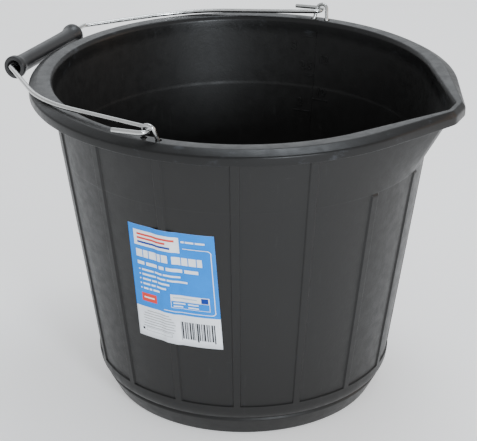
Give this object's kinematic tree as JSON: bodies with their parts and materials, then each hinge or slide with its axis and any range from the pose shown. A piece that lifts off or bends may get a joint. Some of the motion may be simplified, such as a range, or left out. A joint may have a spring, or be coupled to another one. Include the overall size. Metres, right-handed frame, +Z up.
{
  "type": "builder's bucket",
  "caption": "Black moulded builder's bucket with a ribbed tapered wall, a pouring spout, a wire bail hooked through wire ears, and a loose carrying grip.",
  "frame": {"origin": "centre of the foot ring, on the tub's axis, in the plane it stands on", "axes": "+Z up along the tub's axis, +X towards the pouring spout, the bail's pivot axis parallel to Y with the bail lying on the -X rim"},
  "size_m": [0.371, 0.341, 0.2796],
  "materials": {
    "tub_plastic": "semi-matte moulded polyethylene, charcoal black",
    "ear_wire": "bright zinc plated wire",
    "bail_wire": "bright zinc plated wire",
    "grip_plastic": "satin moulded plastic, black",
    "label_film": "printed self-adhesive film, blue above and white below"
  },
  "bodies": {
    "bucket": {"bucket_tub": "tub_plastic", "left_ear_staple": "ear_wire", "right_ear_staple": "ear_wire", "product_label": "label_film"},
    "bail": {"bail_wire": "bail_wire"},
    "grip": {"carry_grip": "grip_plastic"}
  },
  "joints": [
    {"name": "bail_swing", "type": "hinge", "parent": "bucket", "child": "bail", "pos_m": [0, 0, 0.27332], "axis": [0, 1, 0], "range_deg": [0, 183]},
    {"name": "grip_spin", "type": "hinge", "parent": "bail", "child": "grip", "pos_m": [-0.17974, -0.0068, 0.26172], "axis": [0, 1, 0], "continuous": true}
  ]
}
